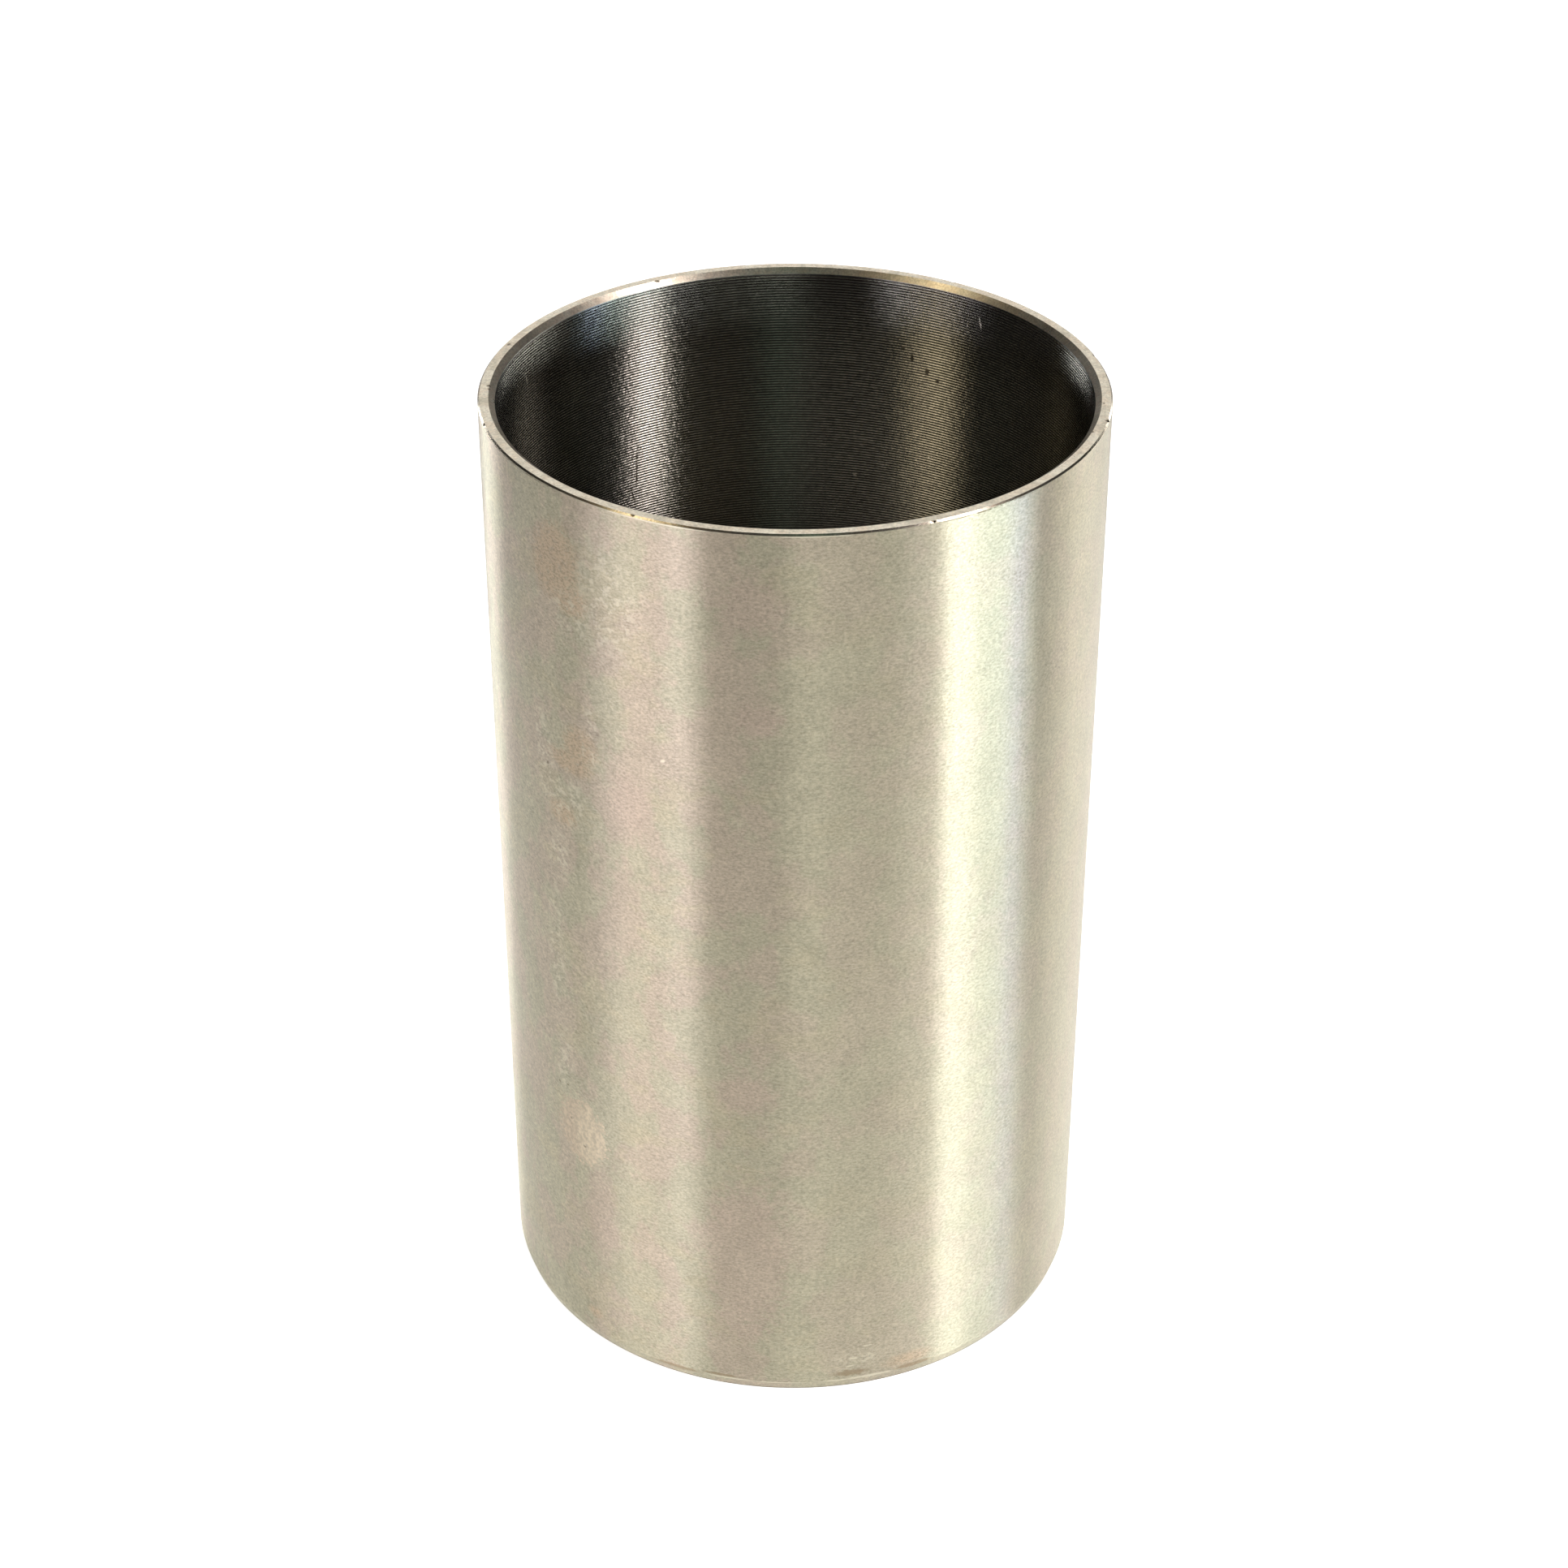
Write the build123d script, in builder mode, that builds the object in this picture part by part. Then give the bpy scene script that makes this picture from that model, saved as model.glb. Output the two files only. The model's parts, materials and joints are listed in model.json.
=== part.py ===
import os

from build123d import *

# A flangeless dry cylinder liner, one thin tube of grey cast iron. It is ground outside for
# a press fit in the engine block and rough bored inside, ready to be finished for a piston.
# Millimetres, +Z up, origin at the middle of the bottom face, standing on its foot.
outer_diameter = 93.0
bore_diameter = 88.0
height = 153.5

# Top end: a fine break on the outer corner and a wide lead-in cone for the piston rings.
top_outer_break = 0.25
ring_lead_in_depth = 0.75
ring_lead_in_width = 0.9

# Foot: a slim lead-in cone that starts the liner squarely in the block, with its sharp
# corner rounded off, and a plain break round the bottom of the bore.
foot_lead_in_height = 1.7
foot_lead_in_width = 0.55
foot_corner_radius = 0.15
foot_bore_break = 0.5

outer_radius = outer_diameter / 2
bore_radius = bore_diameter / 2
wall_thickness = outer_radius - bore_radius


def end_corners(end):
    """Circular corners of the turned tube at one end, from the bore outwards."""
    ends = cylinder_liner.edges().filter_by(GeomType.CIRCLE).group_by(Axis.Z)
    return ends[end].sort_by(SortBy.RADIUS)


def end_face(end):
    """Flat ring that closes the tube at one end."""
    return cylinder_liner.faces().filter_by(Axis.Z).sort_by(Axis.Z)[end]


bottom, top = 0, -1
inner, outer = 0, -1

with BuildPart() as cylinder_liner:
    # The bored and turned tube: its square wall section, swept round the axis.
    with BuildSketch(Plane.XZ):
        with Locations((bore_radius, 0)):
            Rectangle(wall_thickness, height, align=(Align.MIN, Align.MIN))
    revolve(axis=Axis.Z)

    # Top corners. The lead-in is wider across the face than it is deep down the bore.
    chamfer(end_corners(top)[outer], length=top_outer_break)
    chamfer(
        end_corners(top)[inner],
        length=ring_lead_in_width,
        length2=ring_lead_in_depth,
        reference=end_face(top),
    )

    # Bottom corners. The lead-in is steep, and the press meets its rounded corner first.
    chamfer(end_corners(bottom)[inner], length=foot_bore_break)
    chamfer(
        end_corners(bottom)[outer],
        length=foot_lead_in_width,
        length2=foot_lead_in_height,
        reference=end_face(bottom),
    )
    fillet(end_corners(bottom)[outer], radius=foot_corner_radius)

os.makedirs("parts", exist_ok=True)
cylinder_liner.part.label = "cylinder_liner"
export_step(cylinder_liner.part, "parts/cylinder_liner.step")
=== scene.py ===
import json
import math

import bpy
from mathutils import Matrix, Vector


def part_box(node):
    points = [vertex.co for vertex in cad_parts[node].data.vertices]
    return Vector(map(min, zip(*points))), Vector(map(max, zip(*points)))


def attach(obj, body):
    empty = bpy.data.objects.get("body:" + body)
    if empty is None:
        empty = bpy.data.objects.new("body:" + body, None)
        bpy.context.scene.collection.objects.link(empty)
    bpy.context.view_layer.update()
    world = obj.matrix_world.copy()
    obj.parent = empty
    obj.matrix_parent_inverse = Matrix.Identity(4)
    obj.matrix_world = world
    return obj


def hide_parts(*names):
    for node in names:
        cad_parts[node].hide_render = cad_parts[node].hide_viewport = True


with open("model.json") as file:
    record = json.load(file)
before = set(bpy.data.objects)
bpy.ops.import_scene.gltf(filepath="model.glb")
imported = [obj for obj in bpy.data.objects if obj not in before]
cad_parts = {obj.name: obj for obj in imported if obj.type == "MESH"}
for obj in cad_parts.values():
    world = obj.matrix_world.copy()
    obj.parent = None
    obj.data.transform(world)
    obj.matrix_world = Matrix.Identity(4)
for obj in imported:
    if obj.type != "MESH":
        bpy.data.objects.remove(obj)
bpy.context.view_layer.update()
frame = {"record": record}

mm = 0.001
mounts = {mount["name"]: mount["dims"] for mount in frame["record"]["mounts"]}
wallRadius = mounts["outer_wall"]["r_mm"] * mm
boreRadius = mounts["bore"]["r_mm"] * mm
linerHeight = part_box("cylinder_liner")[1].z
collection = bpy.context.scene.collection


def around(bearing, radius, height):
    # bearings are degrees from straight in front (-Y), growing to the right (+X)
    turn = math.radians(bearing)
    return Vector((radius * math.sin(turn), -radius * math.cos(turn), height))


# camera in front of the liner, looking down into it
cameraSetup = {
    "place": (0.0, -438.23 * mm, 358.10 * mm),
    "lookDown": 31.932,
    "turnLeft": 0.206,
    "roll": 0.047,
    "lens": 75.126,
    "sensor": 36.0,
}


def makeCamera(setup):
    data = bpy.data.cameras.new("studioCamera")
    data.sensor_width = setup["sensor"]
    data.lens = setup["lens"]
    data.clip_start = 10 * mm
    camera = bpy.data.objects.new("studioCamera", data)
    collection.objects.link(camera)
    turn = Matrix.Rotation(math.radians(setup["turnLeft"]), 4, "Z")
    tilt = Matrix.Rotation(math.radians(90 - setup["lookDown"]), 4, "X")
    roll = Matrix.Rotation(math.radians(setup["roll"]), 4, "Z")
    camera.matrix_world = Matrix.Translation(setup["place"]) @ turn @ tilt @ roll
    bpy.context.scene.camera = camera


makeCamera(cameraSetup)
print("camera set")


# material zones, in the order of the liner's material slots
groundZone, turnedZone, boredZone = 0, 1, 2

# turned section of the liner, with the same corners as the solid
section = {
    "topBreak": 0.25 * mm,
    "leadInDepth": 0.75 * mm,
    "leadInWidth": 0.90 * mm,
    "footHeight": 1.70 * mm,
    "footWidth": 0.55 * mm,
    "footCorner": 0.15 * mm,
    "footBoreBreak": 0.50 * mm,
    "edgeSoftness": 0.04 * mm,
    "groundSoftness": 0.50 * mm,
    "arcSteps": 3,
    "columns": 360,
    "knockedBand": 2.00 * mm,
    "leastPush": 0.001 * mm,
    "samePoint": 0.0001 * mm,
}

# the tool left one spiral groove up the bore: its feed a turn, and its nose radius
boring = {
    "turns": 338,
    "noseRadius": 0.80 * mm,
    "columns": 100,
    "runOut": 0.25 * mm,
}

# knocks on the rim: bearing, radius and height of the middle, then length along the rim,
# width across it and depth, all in millimetres but the bearing
knocks = [
    (-109.4, 45.75, 153.50, 0.55, 0.30, 0.10),
    (-74.2, 46.30, 153.42, 0.30, 0.18, 0.05),
    (-90.6, 45.00, 153.45, 0.28, 0.30, 0.14),
    (-89.2, 44.92, 153.45, 0.22, 0.22, 0.10),
    (104.6, 46.40, 153.35, 0.50, 0.25, 0.14),
    (83.6, 45.20, 153.50, 0.22, 0.18, 0.07),
    (76.5, 46.20, 153.46, 0.30, 0.20, 0.12),
    (71.2, 44.98, 153.44, 0.30, 0.20, 0.10),
    (148.0, 46.30, 153.42, 0.35, 0.20, 0.09),
    (-151.0, 44.95, 153.44, 0.30, 0.22, 0.09),
    (24.0, 46.28, 153.40, 0.26, 0.16, 0.07),
    (-28.5, 46.28, 153.40, 0.24, 0.14, 0.06),
]


def softenedPath(corners, radii, splits, zones, steps):
    # rounds each corner of the section, and gives every point its true normal
    path = []
    count = len(corners)
    ways = [(corners[i + 1] - corners[i]).normalized() for i in range(count - 1)]
    reaches = [0.0] * count
    for i in range(1, count - 1):
        bend = ways[i - 1].angle(ways[i])
        reaches[i] = radii[i] * math.tan(bend / 2)
    for i in range(count - 1):
        normal = Vector((ways[i].y, -ways[i].x))
        start = corners[i] + ways[i] * reaches[i]
        end = corners[i + 1] - ways[i] * reaches[i + 1]
        for k in range(splits[i] + 1):
            path.append((start.lerp(end, k / splits[i]), normal, zones[i]))
        if i + 1 < count - 1:
            nextNormal = Vector((ways[i + 1].y, -ways[i + 1].x))
            centre = end - normal * radii[i + 1]
            for k in range(1, steps):
                rounded = normal.lerp(nextNormal, k / steps).normalized()
                path.append((centre + rounded * radii[i + 1], rounded, zones[i]))
    return path


closestColumns = 0.05  # degrees
knockReach = 4.0  # degrees to either side


def rimBearings(columns):
    # even columns, with closer ones where the rim is knocked
    bearings = {round(360 * i / columns, 3) for i in range(columns)}
    for bearing, radius, _, length, _, _ in knocks:
        step = math.degrees(length / radius) / 4
        for k in range(-8, 9):
            bearings.add(round((bearing + k * step) % 360, 3))
    ordered = sorted(bearings)
    kept = [ordered[0]]
    for bearing in ordered[1:]:
        if bearing - kept[-1] > closestColumns:
            kept.append(bearing)
    return kept


def knockedIn(point, bearing):
    # how far a point of the rim is pushed in, and which way: down and towards the wall's middle
    push = Vector((0.0, 0.0))
    for middle, radius, height, length, width, depth in knocks:
        apart = (bearing - middle + 180) % 360 - 180
        if abs(apart) > knockReach:
            continue
        along = math.radians(apart) * radius / length
        across = (point - Vector((radius, height)) * mm).length / (width * mm)
        strength = depth * mm * math.exp(-along * along - across * across)
        middleWall = (wallRadius + boreRadius) / 2
        inward = math.copysign(0.7, middleWall - radius * mm)
        push += Vector((inward, -1.0)).normalized() * strength
    return push


def buildLiner(s, b):
    top = linerHeight
    corners = [Vector(c) for c in (
        (boreRadius, s["footBoreBreak"]),
        (boreRadius + s["footBoreBreak"], 0.0),
        (wallRadius - s["footWidth"], 0.0),
        (wallRadius, s["footHeight"]),
        (wallRadius, top - s["topBreak"]),
        (wallRadius - s["topBreak"], top),
        (boreRadius + s["leadInWidth"], top),
        (boreRadius, top - s["leadInDepth"]),
    )]
    fine = s["edgeSoftness"]
    radii = [0, fine, s["footCorner"], s["groundSoftness"], fine, fine, fine, 0]
    splits = [1, 1, 2, 1, 2, 8, 5]
    zones = [turnedZone, turnedZone, groundZone, groundZone, turnedZone, turnedZone, turnedZone]
    path = softenedPath(corners, radii, splits, zones, s["arcSteps"])
    bearings = rimBearings(s["columns"])
    vertices, faces, faceZones, cornerNormals = [], [], [], []
    knocked = set()

    def addVertex(bearing, point):
        vertices.append(around(bearing, point.x, point.y))
        return len(vertices) - 1

    def addFace(indices, normals, zone):
        faces.append(indices)
        faceZones.append(zone)
        cornerNormals.extend(normals)

    # outside of the liner, from the foot of the bore out, up and in again
    rows = []
    for point, _, _ in path:
        row = []
        nearTop = point.y > top - s["knockedBand"]
        for bearing in bearings:
            push = knockedIn(point, bearing) if nearTop else Vector((0, 0))
            row.append(addVertex(bearing, point + push))
            if push.length > s["leastPush"]:
                knocked.add(row[-1])
        rows.append(row)
    wide = len(bearings)
    for j in range(len(rows) - 1):
        if (path[j][0] - path[j + 1][0]).length < s["samePoint"]:
            continue
        for i in range(wide):
            n = (i + 1) % wide
            indices = [rows[j][i], rows[j][n], rows[j + 1][n], rows[j + 1][i]]
            normals = [
                around(bearings[c], path[k][1].x, path[k][1].y)
                for c, k in ((i, j), (n, j), (n, j + 1), (i, j + 1))
            ]
            addFace(indices, normals, path[j + 1][2])

    # bore: peaks and valleys of one spiral groove, going down from the lead-in
    columns = b["columns"]
    highest = top - s["leadInDepth"] - b["runOut"]
    lowest = s["footBoreBreak"] + b["runOut"]
    feed = (highest - lowest) / b["turns"]
    depth = feed * feed / (8 * b["noseRadius"])
    flank = math.asin(feed / 2 / b["noseRadius"])
    lastRow = 2 * (b["turns"] - 1)
    boreBearings = [360 * j / columns for j in range(columns)]
    upperRing = [addVertex(bearing, Vector((boreRadius, highest))) for bearing in boreBearings]
    lowerRing = [addVertex(bearing, Vector((boreRadius, lowest))) for bearing in boreBearings]
    grid = []
    for j in range(columns):
        column = []
        for m in range(lastRow + (3 if j == 0 else 1)):
            if j == 0 and m == 0:
                column.append(upperRing[0])
                continue
            if j == 0 and m == lastRow + 2:
                column.append(lowerRing[0])
                continue
            radius = boreRadius + (depth if m % 2 else 0)
            height = highest - feed * (m / 2 + j / columns)
            column.append(addVertex(boreBearings[j], Vector((radius, height))))
        grid.append(column)
    level = (-1.0, 0.0)
    falling = (-math.cos(flank), -math.sin(flank))
    rising = (-math.cos(flank), math.sin(flank))
    for j in range(columns):
        n = (j + 1) % columns
        skip = 2 if n == 0 else 0
        for m in range(lastRow):
            indices = [grid[j][m], grid[n][m + skip], grid[n][m + 1 + skip], grid[j][m + 1]]
            upper, lower = (level, rising) if m % 2 else (falling, level)
            normals = [
                around(boreBearings[c], *lean)
                for c, lean in ((j, upper), (n, upper), (n, lower), (j, lower))
            ]
            addFace(indices, normals, boredZone)

    def flatFace(indices):
        normals = [-Vector((vertices[i].x, vertices[i].y, 0)).normalized() for i in indices]
        addFace(indices, normals, boredZone)

    last = columns - 1
    flatFace([upperRing[0], upperRing[1], grid[1][0]])
    for j in range(1, last):
        flatFace([upperRing[j], upperRing[j + 1], grid[j + 1][0], grid[j][0]])
    flatFace([upperRing[last], grid[0][0], grid[0][1], grid[0][2], grid[last][0]])
    flatFace([grid[0][lastRow], grid[1][lastRow], lowerRing[1], lowerRing[0], grid[0][lastRow + 1]])
    for j in range(1, last):
        flatFace([grid[j][lastRow], grid[j + 1][lastRow], lowerRing[j + 1], lowerRing[j]])
    flatFace([grid[last][lastRow], lowerRing[0], lowerRing[last]])

    def bridge(upper, upperBearings, lower, lowerBearings):
        # joins two rings of unlike column counts, always taking the nearer next column
        i = j = 0
        while i < len(upper) or j < len(lower):
            nextUpper = upperBearings[i + 1] if i + 1 < len(upper) else 360.0
            nextLower = lowerBearings[j + 1] if j + 1 < len(lower) else 360.0
            takeUpper = j >= len(lower) or (i < len(upper) and nextUpper <= nextLower)
            a, c = upper[i % len(upper)], lower[j % len(lower)]
            if takeUpper:
                flatFace([a, upper[(i + 1) % len(upper)], c])
                i += 1
            else:
                flatFace([a, lower[(j + 1) % len(lower)], c])
                j += 1

    bridge(rows[-1], bearings, upperRing, boreBearings)
    bridge(lowerRing, boreBearings, rows[0], bearings)

    mesh = bpy.data.meshes.new("liner_body")
    mesh.from_pydata(vertices, [], faces)
    mesh.polygons.foreach_set("material_index", faceZones)
    mesh.polygons.foreach_set("use_smooth", [True] * len(faces))
    mesh.update()
    loopVertices = [loop.vertex_index for loop in mesh.loops]
    for k, vertex in enumerate(loopVertices):
        if vertex in knocked:
            cornerNormals[k] = mesh.vertices[vertex].normal
    mesh.normals_split_custom_set(cornerNormals)
    liner = bpy.data.objects.new("liner_body", mesh)
    collection.objects.link(liner)
    triangles = sum(len(face) - 2 for face in faces)
    print("liner meshed:", triangles, "triangles, feed", round(feed / mm, 3), "mm a turn")
    return liner


liner = buildLiner(section, boring)


# short ways to lay out shader nodes
def put(socket, value):
    if isinstance(value, bpy.types.NodeSocket):
        socket.id_data.links.new(value, socket)
    else:
        socket.default_value = value


def node(tree, kind, inputs=None, **settings):
    made = tree.nodes.new("ShaderNode" + kind)
    for name, value in settings.items():
        setattr(made, name, value)
    for name, value in (inputs or {}).items():
        put(made.inputs[name], value)
    return made


def calc(tree, operation, *values):
    made = node(tree, "Math", operation=operation)
    for socket, value in zip(made.inputs, values):
        put(socket, value)
    return made.outputs[0]


def span(tree, value, low, high, start=0.0, end=1.0, smooth=True):
    made = node(tree, "MapRange", interpolation_type="SMOOTHSTEP" if smooth else "LINEAR")
    for socket, number in zip(made.inputs, (value, low, high, start, end)):
        put(socket, number)
    return made.outputs[0]


def blend(tree, share, first, second):
    made = node(tree, "Mix", data_type="RGBA")
    for index, value in ((0, share), (6, first), (7, second)):
        put(made.inputs[index], value)
    return made.outputs[2]


def noise(tree, vector, stretch, detail, roughness):
    scaled = node(tree, "VectorMath", {0: vector, 1: stretch}, operation="MULTIPLY")
    made = node(tree, "TexNoise", {"Vector": scaled.outputs[0], "Scale": 1.0})
    put(made.inputs["Detail"], detail)
    put(made.inputs["Roughness"], roughness)
    return made.outputs["Fac"]


def newMaterial(name):
    material = bpy.data.materials.new(name)
    material.use_nodes = True
    material.node_tree.nodes.clear()
    return material, material.node_tree


def colour(red, green, blue):
    # written as on screen, 0 to 255, and turned into linear light
    def linear(part):
        part /= 255
        return part / 12.92 if part <= 0.04045 else ((part + 0.055) / 1.055) ** 2.4
    return (linear(red), linear(green), linear(blue), 1.0)


def linerPlace(tree):
    # where a point is on the liner, in millimetres: solid, height, and arc round the wall
    local = node(tree, "TexCoord").outputs["Object"]
    solid = node(tree, "VectorMath", {0: local, "Scale": 1 / mm}, operation="SCALE").outputs[0]
    parts = node(tree, "SeparateXYZ", {0: solid})
    across, deep, height = parts.outputs
    angle = calc(tree, "ARCTAN2", across, calc(tree, "MULTIPLY", deep, -1.0))
    arc = calc(tree, "MULTIPLY", angle, wallRadius / mm)
    radius = calc(tree, "SQRT", calc(tree, "ADD", calc(tree, "MULTIPLY", across, across),
                                     calc(tree, "MULTIPLY", deep, deep)))
    flat = node(tree, "CombineXYZ", {0: arc, 1: height}).outputs[0]
    return {"solid": solid, "height": height, "radius": radius, "arc": arc, "flat": flat}


def mark(tree, place, spot, ragged):
    # soft-edged patch on the unrolled wall: bearing, height, half width, half height, tilt
    bearing, height, halfWide, halfHigh, tilt, softness = spot
    arc = math.radians(bearing) * wallRadius / mm
    moved = node(tree, "Mapping", {
        "Vector": place["flat"],
        "Location": (arc, height, 0.0),
        "Rotation": (0.0, 0.0, math.radians(tilt)),
        "Scale": (halfWide, halfHigh, 1.0),
    }, vector_type="TEXTURE").outputs[0]
    away = node(tree, "VectorMath", {0: moved}, operation="LENGTH").outputs["Value"]
    away = calc(tree, "ADD", away, ragged)
    return span(tree, away, 1.0 + softness, 1.0 - softness)


def anyMark(tree, place, spots, ragged, strength=1.0):
    found = None
    for spot in spots:
        one = mark(tree, place, spot, ragged)
        found = one if found is None else calc(tree, "MAXIMUM", found, one)
    return calc(tree, "MULTIPLY", found, strength)


def leaning(tree, solid, fineness, lean, upward):
    # tool lines far finer than the mesh, whose facets lean up and down the liner
    lines = noise(tree, solid, fineness, 1.0, 0.5)
    amount = calc(tree, "ADD", centred(tree, lines, lean), upward)
    push = node(tree, "CombineXYZ", {2: amount}).outputs[0]
    facing = node(tree, "NewGeometry").outputs["Normal"]
    leaned = node(tree, "VectorMath", {0: facing, 1: push}, operation="ADD").outputs[0]
    return node(tree, "VectorMath", {0: leaned}, operation="NORMALIZE").outputs[0]


def centred(tree, value, strength):
    # turns a noise of 0 to 1 into one that swings evenly about nought
    return calc(tree, "MULTIPLY", calc(tree, "SUBTRACT", value, 0.5), strength)


def times(tree, tone, *levels):
    level = levels[0]
    for other in levels[1:]:
        level = calc(tree, "MULTIPLY", level, other)
    return node(tree, "VectorMath", {0: tone, "Scale": level}, operation="SCALE").outputs[0]


def finishMetal(tree, tone, rough, normal, anisotropy):
    shader = node(tree, "BsdfPrincipled", {
        "Base Color": tone,
        "Metallic": 1.0,
        "Roughness": rough,
        "Normal": normal,
        "Anisotropic": anisotropy,
        "Anisotropic Rotation": 0.25,
        "Tangent": node(tree, "Tangent", direction_type="RADIAL", axis="Z").outputs[0],
    })
    output = node(tree, "OutputMaterial")
    tree.links.new(shader.outputs[0], output.inputs["Surface"])


# ground outer wall
ground = {
    "metal": colour(184, 177, 154),
    "green": colour(183, 178, 153),
    "pink": colour(191, 175, 157),
    "yellow": colour(190, 180, 150),
    "stain": colour(200, 181, 154),
    "spot": colour(205, 188, 164),
    "cream": colour(217, 202, 176),
    "fleck": colour(224, 217, 194),
    "dark": colour(104, 92, 70),
    "brown": colour(150, 128, 98),
    "roughness": 0.29,
    "anisotropy": 1.0,
    "fineness": (24.0, 24.0, 34.0),
    "lean": 3.0,
    # noises: fineness a millimetre across, deep and up, then detail and roughness
    "blotches": ((0.22, 0.22, 0.16), 3.0, 0.6),
    "tint": ((0.12, 0.12, 0.10), 4.0, 0.6),
    "oiled": ((0.10, 0.10, 0.16), 4.0, 0.6),
    "mottle": ((0.9, 0.9, 1.1), 4.0, 0.65),
    "grain": ((1.8, 1.8, 3.2), 2.0, 0.7),
    "crust": ((1.4, 1.4, 1.4), 4.0, 0.7),
    "wisp": ((0.75, 0.75, 1.0), 4.0, 0.65),
    # ranges: from and to of the noise or place, then from and to of what it gives
    "pinkRange": (0.45, 0.56),
    "yellowRange": (0.52, 0.62, 0.0, 0.6),
    "tintedSide": (12.0, -12.0, 0.30, 0.62),
    "shadeRange": (0.30, 0.70, 0.96, 1.04),
    "grainRange": (0.20, 0.80, 0.66, 1.34),
    "patchyRange": (0.34, 0.62, -0.10, 0.06),
    "patchySide": (-22.0, -34.0),
    "stainRange": (0.34, 0.50, 0.35, 0.95),
    "stainGrain": (0.3, 0.6, 0.7, 1.1),
    "crustRange": (0.35, 0.65, 0.78, 1.10),
    "fleckRange": (0.50, 0.62),
    "strayFlecks": (0.66, 0.72, 0.0, 0.25),
    "underBreakGaps": (0.40, 0.55),
    # painted shade: a dark line along the very bottom of the foot
    "footShadeLine": (0.34, 0.14, 0.0, 0.85),
    # how ragged the marks' edges are, and how strong each kind is
    "raggedness": 1.6,
    "ovalRaggedness": 1.28,
    "pinkStrength": 0.80,
    "ovalStrength": 0.95,
    "fieldStrength": 0.60,
    "nickAndHighlightStrength": 0.85,
    "smudgeStrength": 0.60,
    "speckStrength": 0.60,
    "stainRoughness": 0.03,
    "sunken": -2.0,
    "relief": 0.002 * mm,
}
# marks on the wall: bearing, height, half width, half height, tilt, softness
tanStains = [
    (-46.6, 141.5, 4.8, 6.2, -10, 0.25),
    (-43.0, 136.6, 3.4, 2.6, 0, 0.3),
    (-41.8, 112.6, 3.4, 3.2, 0, 0.35),
    (-44.5, 109.2, 4.6, 1.8, 0, 0.35),
    (-47.2, 99.6, 3.0, 2.0, 0, 0.4),
    (-43.3, 5.3, 1.6, 1.0, 0, 0.6),
    (23.5, 3.6, 3.6, 1.2, 0, 0.6),
]
pinkTints = [
    (-7.5, 142.0, 4.4, 4.2, 0, 0.4),
    (-6.3, 124.0, 3.2, 2.8, 0, 0.4),
    (-30.8, 106.5, 3.6, 4.8, 0, 0.4),
    (-9.0, 58.5, 4.6, 3.4, 0, 0.4),
    (-9.0, 26.0, 6.2, 15.0, 0, 0.3),
    (-40.5, 27.0, 3.0, 10.0, 0, 0.4),
]
ovalSpot = (-45.1, 41.3, 5.2, 6.1, 0, 0.07)
ovalCream = (-42.4, 41.0, 3.6, 6.4, 0, 0.35)
darkSpecks = [
    (-48.3, 42.6, 0.22, 0.22, 0, 0.5),
    (-44.5, 38.6, 0.30, 0.20, 0, 0.5),
    (-51.6, 48.3, 0.30, 0.22, 0, 0.5),
    (-48.9, 48.8, 0.30, 0.20, 0, 0.5),
    (-50.9, 106.9, 0.25, 0.20, 0, 0.5),
]
footSmudges = [
    (11.4, 3.0, 2.6, 0.55, 0, 0.5),
    (-23.5, 1.6, 4.0, 0.40, 0, 0.4),
    (24.5, 2.0, 3.0, 0.40, 0, 0.4),
    (-14.0, 2.1, 2.6, 0.25, 0, 0.4),
]
# a dark line on the wall just under the rim's outer break, along two stretches
underBreakLines = [
    (-64.0, 153.10, 13.0, 0.10, 0, 0.5),
    (36.0, 153.10, 8.5, 0.09, 0, 0.5),
]
speckFields = [
    (-34.0, 138.0, 5.0, 8.0, 0, 0.8),
    (-43.0, 134.0, 4.0, 3.4, 0, 0.5),
    (-51.8, 110.0, 2.2, 6.4, 10, 0.4),
    (-39.0, 115.0, 1.8, 5.0, 0, 0.4),
    (-47.0, 102.5, 6.6, 4.6, -25, 0.4),
    (-48.6, 91.5, 2.4, 4.4, 0, 0.4),
    (-50.5, 74.0, 2.0, 12.0, 0, 0.5),
    (-49.5, 53.0, 2.0, 6.0, 0, 0.5),
    (13.0, 6.0, 3.4, 1.4, 0, 0.5),
]
# the first two marks are painted highlights, bright lines on the wall just under the front of the rim's
# outer break; the last four are light marks along the top edge of the foot's chamfer at the front; the rest
# are light nicks
lightNicksAndHighlights = [
    (-23.5, 153.13, 7.4, 0.10, 0, 0.3),
    (2.5, 153.13, 5.8, 0.10, 0, 0.3),
    (-23.6, 115.3, 0.35, 0.20, 20, 0.5),
    (12.0, 5.9, 0.8, 0.18, 0, 0.5),
    (11.4, 4.4, 0.6, 0.14, 0, 0.5),
    (14.8, 8.2, 0.7, 0.12, 0, 0.5),
    (9.0, 1.70, 2.4, 0.16, 0, 0.5),
    (15.5, 1.80, 3.6, 0.24, 0, 0.5),
    (-12.5, 1.65, 3.6, 0.16, 0, 0.5),
    (-3.0, 1.60, 4.0, 0.10, 0, 0.5),
]


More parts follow.
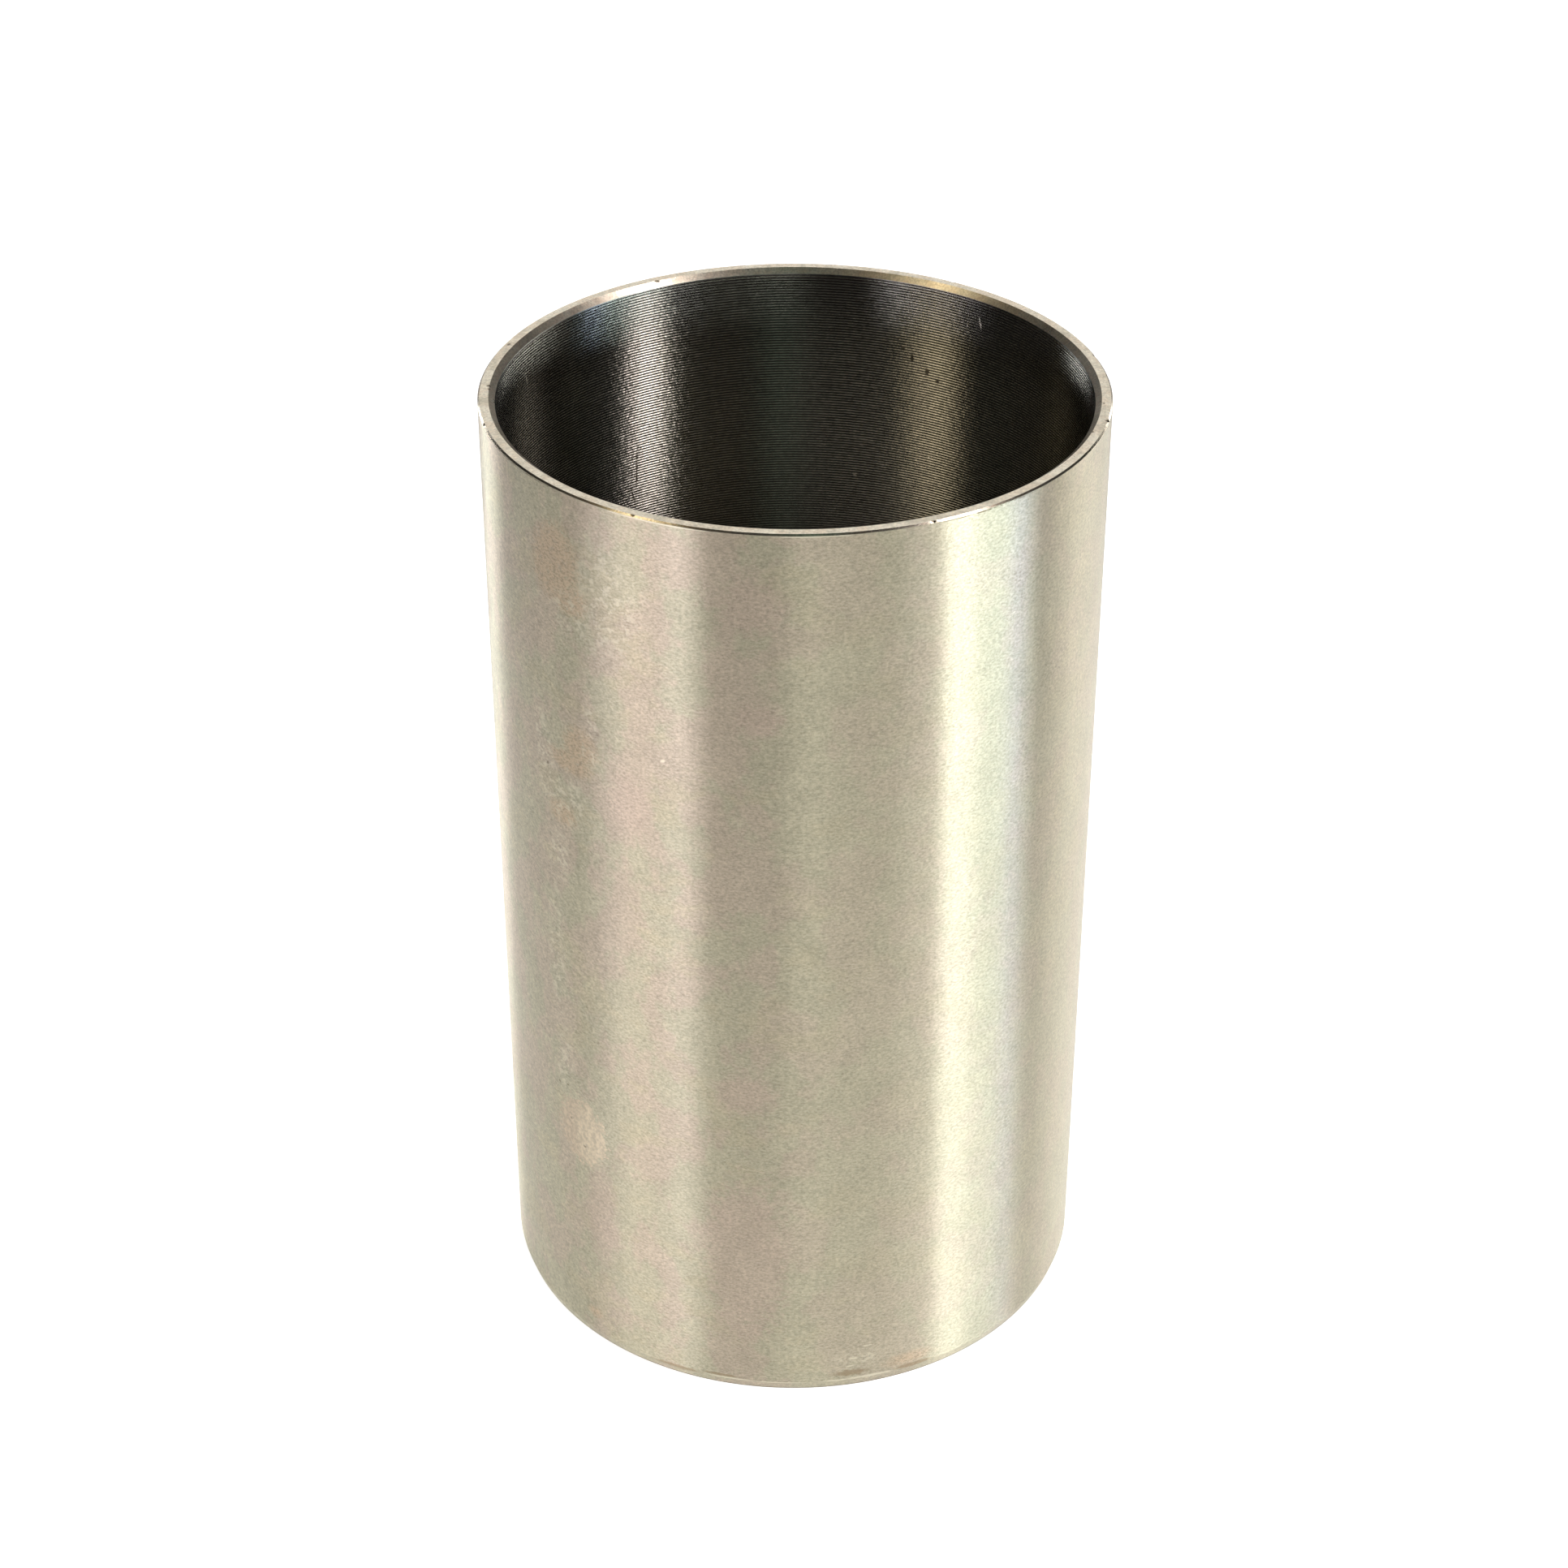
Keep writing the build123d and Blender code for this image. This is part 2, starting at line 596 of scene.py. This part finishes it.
def groundMetal(g):
    material, tree = newMaterial("groundWall")
    place = linerPlace(tree)
    solid = place["solid"]
    blotches = noise(tree, solid, *g["blotches"])
    tint = noise(tree, solid, *g["tint"])
    oiled = noise(tree, solid, *g["oiled"])
    mottle = noise(tree, solid, *g["mottle"])
    grain = noise(tree, solid, *g["grain"])
    ragged = centred(tree, mottle, g["raggedness"])
    ovalRagged = centred(tree, mottle, g["ovalRaggedness"])

    # oil tints, with the fine grain of the grinding
    tone = blend(tree, span(tree, tint, *g["pinkRange"]), g["green"], g["pink"])
    tone = blend(tree, span(tree, oiled, *g["yellowRange"]), tone, g["yellow"])
    tone = blend(tree, span(tree, place["arc"], *g["tintedSide"]), g["metal"], tone)
    pink = anyMark(tree, place, pinkTints, ragged, g["pinkStrength"])
    tone = blend(tree, pink, tone, g["pink"])
    shade = span(tree, blotches, *g["shadeRange"])
    tone = times(tree, tone, shade, span(tree, grain, *g["grainRange"], smooth=False))

    # the left side has lain in something and gone patchy
    patchy = span(tree, mottle, *g["patchyRange"])
    patchy = calc(tree, "MULTIPLY", patchy, span(tree, place["arc"], *g["patchySide"]))
    tone = times(tree, tone, calc(tree, "ADD", patchy, 1.0))

    # dried stains
    stained = anyMark(tree, place, tanStains, ragged)
    stained = calc(tree, "MULTIPLY", stained, span(tree, mottle, *g["stainRange"]))
    tone = blend(tree, stained, tone, times(tree, g["stain"][:3], span(tree, grain, *g["stainGrain"])))
    oval = anyMark(tree, place, [ovalSpot], ovalRagged, g["ovalStrength"])
    crust = blend(tree, mark(tree, place, ovalCream, ragged), g["spot"], g["cream"])
    crust = times(tree, crust, span(tree, noise(tree, solid, *g["crust"]), *g["crustRange"]))
    tone = blend(tree, oval, tone, crust)

    # light flecks, nicks and painted highlights, dark specks and the smudges at the foot
    fields = anyMark(tree, place, speckFields, ragged, g["fieldStrength"])
    wisp = noise(tree, solid, *g["wisp"])
    fleck = calc(tree, "MULTIPLY", span(tree, wisp, *g["fleckRange"]), fields)
    fleck = calc(tree, "MAXIMUM", fleck, span(tree, wisp, *g["strayFlecks"]))
    # light nicks, with painted highlights just under the front of the rim's outer break
    nickAndHighlight = anyMark(tree, place, lightNicksAndHighlights, ragged, g["nickAndHighlightStrength"])
    tone = blend(tree, calc(tree, "MAXIMUM", fleck, nickAndHighlight), tone, g["fleck"])
    smudge = anyMark(tree, place, footSmudges, ragged, g["smudgeStrength"])
    tone = blend(tree, smudge, tone, g["brown"])
    speck = anyMark(tree, place, darkSpecks, ragged, g["speckStrength"])
    # a dark line just under the rim's outer break, broken up by the mottle
    underBreakLine = calc(tree, "MULTIPLY", anyMark(tree, place, underBreakLines, 0.0), span(tree, mottle, *g["underBreakGaps"]))
    dark = calc(tree, "MAXIMUM", speck, underBreakLine)
    # painted shade: a dark line along the very bottom of the foot, where it stands on the floor
    dark = calc(tree, "MAXIMUM", dark, span(tree, place["height"], *g["footShadeLine"]))
    tone = blend(tree, dark, tone, g["dark"])

    rough = calc(tree, "ADD", calc(tree, "MULTIPLY", stained, g["stainRoughness"]), g["roughness"])
    lines = leaning(tree, solid, g["fineness"], g["lean"], 0.0)
    relief = calc(tree, "ADD", grain, calc(tree, "MULTIPLY", dark, g["sunken"]))
    bump = node(tree, "Bump", {
        "Height": relief,
        "Strength": 1.0,
        "Distance": g["relief"],
        "Normal": lines,
    })
    finishMetal(tree, tone, rough, bump.outputs[0], g["anisotropy"])
    return material


# turned rim and foot faces
turned = {
    "metal": colour(208, 199, 179),
    "warm": colour(204, 190, 168),
    "dull": colour(178, 170, 150),
    "dark": colour(98, 86, 68),
    "roughnessRange": (0.3, 0.7, 0.27, 0.35),
    "breakRoughness": 0.20,
    "breakEdge": 0.03,
    "anisotropy": 0.3,
    "rings": ((7.0, 1.0, 1.0), 2.0, 0.6),
    "patches": ((0.35, 0.35, 0.35), 4.0, 0.6),
    "tint": ((0.55, 0.55, 0.55), 3.0, 0.6),
    "grain": ((3.0, 3.0, 3.0), 2.0, 0.6),
    "grime": ((1.3, 1.3, 1.3), 4.0, 0.7),
    "warmRange": (0.42, 0.62),
    "dullRange": (0.48, 0.68, 0.0, 0.7),
    "ringRange": (0.3, 0.7, 0.94, 1.06),
    "grainRange": (0.25, 0.75, 0.80, 1.20),
    "grimeRange": (0.66, 0.74, 0.0, 0.7),
    "knockDarkBelowTop": (1.0, 0.8),
    "knockDarkStrength": 0.9,
    "knockDarkRaggedness": 2.0,
    "grainRelief": 0.5,
    "reliefStrength": 0.5,
    "relief": 0.004 * mm,
}


def turnedMetal(t):
    material, tree = newMaterial("turnedRim")
    place = linerPlace(tree)
    solid = place["solid"]
    acrossFace = node(tree, "CombineXYZ", {0: place["radius"]}).outputs[0]
    rings = noise(tree, acrossFace, *t["rings"])
    patches = noise(tree, solid, *t["patches"])
    tint = noise(tree, solid, *t["tint"])
    grain = noise(tree, solid, *t["grain"])
    tone = blend(tree, span(tree, tint, *t["warmRange"]), t["metal"], t["warm"])
    tone = blend(tree, span(tree, patches, *t["dullRange"]), tone, t["dull"])
    ringed = span(tree, rings, *t["ringRange"])
    tone = times(tree, tone, ringed, span(tree, grain, *t["grainRange"]))
    grime = span(tree, noise(tree, solid, *t["grime"]), *t["grimeRange"])

    # the knocks on the rim are coloured darker
    rimFace = {"flat": node(tree, "CombineXYZ", {0: place["arc"], 1: place["radius"]}).outputs[0]}
    dents = [(bearing, radius, length, width, 0, 0.5) for bearing, radius, _, length, width, _ in knocks]
    dented = anyMark(tree, rimFace, dents, centred(tree, tint, t["knockDarkRaggedness"]), t["knockDarkStrength"])
    lowest, full = (linerHeight / mm - below for below in t["knockDarkBelowTop"])
    dented = calc(tree, "MULTIPLY", dented, span(tree, place["height"], lowest, full))
    tone = blend(tree, calc(tree, "MAXIMUM", grime, dented), tone, t["dark"])

    # the outer break is the smoothest of the faces
    rough = span(tree, patches, *t["roughnessRange"])
    breakStart = (wallRadius - section["topBreak"]) / mm
    edge = (breakStart - t["breakEdge"], breakStart + t["breakEdge"])
    rough = span(tree, place["radius"], *edge, rough, t["breakRoughness"])
    relief = calc(tree, "ADD", rings, calc(tree, "MULTIPLY", grain, t["grainRelief"]))
    bump = node(tree, "Bump", {
        "Height": relief,
        "Strength": t["reliefStrength"],
        "Distance": t["relief"],
    })
    finishMetal(tree, tone, rough, bump.outputs[0], t["anisotropy"])
    return material


# rough bored inside, coloured darker along the floor of the spiral groove
bored = {
    "metal": colour(194, 190, 178),
    "groove": colour(78, 76, 69),
    "fleck": colour(222, 218, 206),
    "dark": colour(80, 75, 64),
    "roughnessRange": (0.3, 0.7, 0.23, 0.27),
    "anisotropy": 1.0,
    "fineness": (24.0, 24.0, 34.0),
    "lean": 1.1,
    "upward": 0.28,
    # painted shade: the colour darkens deep down and towards the mouth
    "deep": (95.0, 128.0, 0.55, 1.0),
    "mouthShade": (152.5, 139.0, 0.50, 1.0),
    "mottle": ((1.2, 1.2, 1.2), 3.0, 0.6),
    "crackle": ((1.2, 1.2, 1.7), 3.0, 0.65),
    "streaks": ((0.30, 0.30, 3.0), 2.0, 0.6),
    "chips": ((0.9, 0.9, 0.7), 3.0, 0.6),
    "grooveEdge": (0.32, 0.12),
    "mottleRange": (0.3, 0.7, 0.90, 1.10),
    "streakRange": (0.3, 0.7, 0.93, 1.07),
    "chipRange": (0.70, 0.76, 0.0, 0.7),
    "pitRange": (0.32, 0.26, 0.0, 0.6),
    "kink": 2.0,
    "relief": 0.04 * mm,
}
boreHairs = [
    (-144.6, 122.0, 0.16, 3.2, 3, 0.5),
    (-143.6, 117.6, 0.12, 1.6, -14, 0.5),
    (157.0, 141.4, 0.3, 0.3, 0, 0.5),
    (155.0, 140.2, 0.25, 0.6, 0, 0.5),
    (151.5, 138.4, 0.3, 0.5, 0, 0.5),
    (149.0, 137.0, 0.35, 0.4, 0, 0.5),
]
boreNicks = [
    (-128.0, 138.0, 0.12, 0.9, 20, 0.5),
    (-112.0, 147.0, 0.12, 1.2, -15, 0.5),
    (-104.0, 139.0, 0.2, 0.3, 0, 0.5),
    (-118.0, 131.0, 0.12, 0.5, 10, 0.5),
    (139.0, 149.0, 0.15, 1.0, -15, 0.5),
]


def boredMetal(b):
    material, tree = newMaterial("boredInside")
    place = linerPlace(tree)
    solid = place["solid"]
    highest = (linerHeight - section["leadInDepth"] - boring["runOut"]) / mm
    lowest = (section["footBoreBreak"] + boring["runOut"]) / mm
    feed = (highest - lowest) / boring["turns"]
    # how far through one turn's ridge and groove a point is: the groove's floor is at a half
    fallen = calc(tree, "DIVIDE", calc(tree, "SUBTRACT", highest, place["height"]), feed)
    partTurn = calc(tree, "DIVIDE", place["arc"], 2 * math.pi * wallRadius / mm)
    through = calc(tree, "FRACT", calc(tree, "SUBTRACT", fallen, partTurn))
    groove = span(tree, calc(tree, "ABSOLUTE", calc(tree, "SUBTRACT", through, 0.5)), *b["grooveEdge"])
    mottle = noise(tree, solid, *b["mottle"])
    crackle = noise(tree, solid, *b["crackle"])
    streaks = noise(tree, solid, *b["streaks"])
    tone = blend(tree, groove, b["metal"], b["groove"])
    streaked = span(tree, streaks, *b["streakRange"])
    tone = times(tree, tone, span(tree, mottle, *b["mottleRange"]), streaked)
    # painted shade: the colour darkens deep down and towards the mouth
    deep = span(tree, place["height"], *b["deep"])
    tone = times(tree, tone, deep, span(tree, place["height"], *b["mouthShade"]))
    chips = span(tree, noise(tree, solid, *b["chips"]), *b["chipRange"])
    tone = blend(tree, chips, tone, b["fleck"])
    kinked = centred(tree, mottle, b["kink"])
    pits = span(tree, crackle, *b["pitRange"])
    pits = calc(tree, "MAXIMUM", pits, anyMark(tree, place, boreHairs, kinked))
    tone = blend(tree, pits, tone, b["dark"])
    tone = blend(tree, anyMark(tree, place, boreNicks, kinked), tone, b["fleck"])
    rough = span(tree, mottle, *b["roughnessRange"])
    lines = leaning(tree, solid, b["fineness"], b["lean"], b["upward"])
    bump = node(tree, "Bump", {
        "Height": crackle,
        "Strength": 1.0,
        "Distance": b["relief"],
        "Normal": lines,
    })
    finishMetal(tree, tone, rough, bump.outputs[0], b["anisotropy"])
    return material


for material in (groundMetal(ground), turnedMetal(turned), boredMetal(bored)):
    liner.data.materials.append(material)
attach(liner, "root")
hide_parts("cylinder_liner")
print("liner finished")


# pale floor: plain white to the eye and in the metal, and it keeps the liner's shadow
floorSetup = {
    "half": 3.0,
    "colour": (0.50, 0.50, 0.50, 1.0),
    "seenLift": 0.90,
    "mirroredLift": 0.95,
    "liftFades": (0.20, 0.60),
}


def makeFloor(f):
    half = f["half"]
    mesh = bpy.data.meshes.new("floor")
    corners = [(-half, -half, 0), (half, -half, 0), (half, half, 0), (-half, half, 0)]
    mesh.from_pydata(corners, [], [(0, 1, 2, 3)])
    floor = bpy.data.objects.new("floor", mesh)
    collection.objects.link(floor)
    material, tree = newMaterial("floorPaint")
    rays = node(tree, "LightPath").outputs
    reflected = calc(tree, "MAXIMUM", rays["Is Glossy Ray"], rays["Is Transmission Ray"])
    # the patch of floor inside the tube gets no lift, so that the bore stays dark
    spot = node(tree, "TexCoord").outputs["Object"]
    away = node(tree, "VectorMath", {0: spot}, operation="LENGTH").outputs["Value"]
    pool = span(tree, away, *f["liftFades"], f["mirroredLift"], 0.0, smooth=False)
    seen = calc(tree, "MULTIPLY", rays["Is Camera Ray"], f["seenLift"])
    lift = calc(tree, "ADD", seen, calc(tree, "MULTIPLY", reflected, pool))
    outside = calc(tree, "GREATER_THAN", away, (wallRadius + boreRadius) / 2)
    paint = node(tree, "BsdfDiffuse", {"Color": f["colour"]})
    glow = node(tree, "Emission", {"Strength": calc(tree, "MULTIPLY", lift, outside)})
    both = node(tree, "AddShader", {0: paint.outputs[0], 1: glow.outputs[0]})
    output = node(tree, "OutputMaterial")
    tree.links.new(both.outputs[0], output.inputs["Surface"])
    mesh.materials.append(material)


makeFloor(floorSetup)


# soft boxes round the liner, by bearing from straight in front: where each starts, is at full
# light, begins to fade and ends, in degrees. All are bent over the liner, from low in front to
# high behind. The low ones stand just above the bench and light the wall, and the high ones
# hang over it and mostly light the bore
studio = {
    "bend": (0.0, -0.848, 0.530),  # towards the camera
    "lowBoxes": {
        "backLeftBox": {"reach": (-177, -161, -153, -137), "level": 17.0, "tint": (0.97, 1.0, 1.05)},
        "leftWindow": {"reach": (-88, -68, -52, -32), "level": 6.5, "tint": (1.05, 1.0, 1.20)},
        "leftStrip": {"reach": (-53, -42, -42, -31), "level": 9.0, "tint": (1.02, 1.0, 1.10)},
        "frontFill": {"reach": (-8, 6, 6, 20), "level": 3.5, "tint": (1.0, 1.0, 1.0)},
        "rightWall": {"reach": (6, 20, 54, 68), "level": 2.0, "tint": (1.0, 1.05, 1.0)},
        "rightStrip": {"reach": (36, 46, 54, 64), "level": 3.0, "tint": (1.0, 1.0, 1.2)},
        "rightKey": {"reach": (54, 61, 85, 104), "level": 16.5, "tint": (0.83, 1.0, 1.08)},
        "coolEdge": {"reach": (83, 90, 91, 98), "level": 5.0, "tint": (0.0, 0.0, 1.0)},
        "backRightWall": {"reach": (104, 130, 168, 180), "level": 9.0, "tint": (1.0, 1.0, 1.0)},
    },
    "highBoxes": {
        "leftLamp": {"reach": (-75, -64, -61, -43), "level": 1.4, "tint": (1.15, 1.0, 0.70)},
        "frontGlow": {"reach": (-8, 6, 6, 20), "level": 0.1, "tint": (0.5, 1.0, 0.8)},
        "rightLamp": {"reach": (54, 61, 67, 74), "level": 7.0, "tint": (1.07, 1.0, 1.04)},
    },
    "lowRoom": 0.30,
    "highRoom": 0.04,
    "lowTop": (5, 8),
    "lampsBrighten": (8, 55, 0.20, 1.60),
    "card": (1.1, 1.1, 1.1, 1.0),
    "cardEdge": (0.94, 0.975),
}


def lightAt(bearing, boxes, room):
    light = Vector((room, room, room))
    for box in boxes.values():
        start, full, fade, end = box["reach"]
        if start < bearing < end:
            share = min(1.0, (bearing - start) / (full - start), (end - bearing) / (end - fade))
            light += Vector(box["tint"]) * box["level"] * share
    return light


def boxRing(tree, turn, boxes, room):
    # between the bearings of the boxes the light changes evenly, so one ramp holds them all
    bearings = sorted({-180, 180}.union(*(box["reach"] for box in boxes.values())))
    lights = [lightAt(bearing, boxes, room) for bearing in bearings]
    brightest = max(max(light) for light in lights)
    ramp = node(tree, "ValToRGB", {0: turn})
    elements = ramp.color_ramp.elements
    while len(elements) > 1:
        elements.remove(elements[-1])
    for k, (bearing, light) in enumerate(zip(bearings, lights)):
        position = (bearing + 180) / 360
        element = elements[0] if k == 0 else elements.new(position)
        element.position = position
        element.color = [part / brightest for part in light] + [1.0]
    return node(tree, "VectorMath", {0: ramp.outputs[0], "Scale": brightest}, operation="SCALE").outputs[0]


def makeStudio(s):
    world = bpy.data.worlds.new("studio")
    bpy.context.scene.world = world
    world.use_nodes = True
    tree = world.node_tree
    tree.nodes.clear()
    way = node(tree, "TexCoord").outputs["Generated"]
    upward = node(tree, "SeparateXYZ", {0: way}).outputs[2]
    rise = calc(tree, "DEGREES", calc(tree, "ARCSINE", upward))
    # the soft boxes bend over the liner from low in front to high behind
    bent = node(tree, "VectorMath", {0: way, 1: s["bend"]}, operation="ADD").outputs[0]
    bent = node(tree, "VectorMath", {0: bent}, operation="NORMALIZE").outputs[0]
    across, deep, up = node(tree, "SeparateXYZ", {0: bent}).outputs
    angle = calc(tree, "ARCTAN2", across, calc(tree, "MULTIPLY", deep, -1.0))
    turn = span(tree, angle, -math.pi / 2, math.pi / 2, smooth=False)
    low = boxRing(tree, turn, s["lowBoxes"], s["lowRoom"])
    high = boxRing(tree, turn, s["highBoxes"], s["highRoom"])
    high = times(tree, high, span(tree, rise, *s["lampsBrighten"]))
    light = blend(tree, span(tree, rise, *s["lowTop"]), low, high)
    light = blend(tree, span(tree, up, *s["cardEdge"]), light, s["card"])
    boxes = node(tree, "Background", {"Color": light, "Strength": 1.0})
    white = node(tree, "Background", {"Color": (1, 1, 1, 1), "Strength": 1.0})
    seen = node(tree, "LightPath").outputs["Is Camera Ray"]
    mixed = node(tree, "MixShader", {0: seen, 1: boxes.outputs[0], 2: white.outputs[0]})
    output = node(tree, "OutputWorld")
    tree.links.new(mixed.outputs[0], output.inputs["Surface"])


makeStudio(studio)
bpy.context.scene.view_settings.view_transform = "Standard"
print("studio lit")
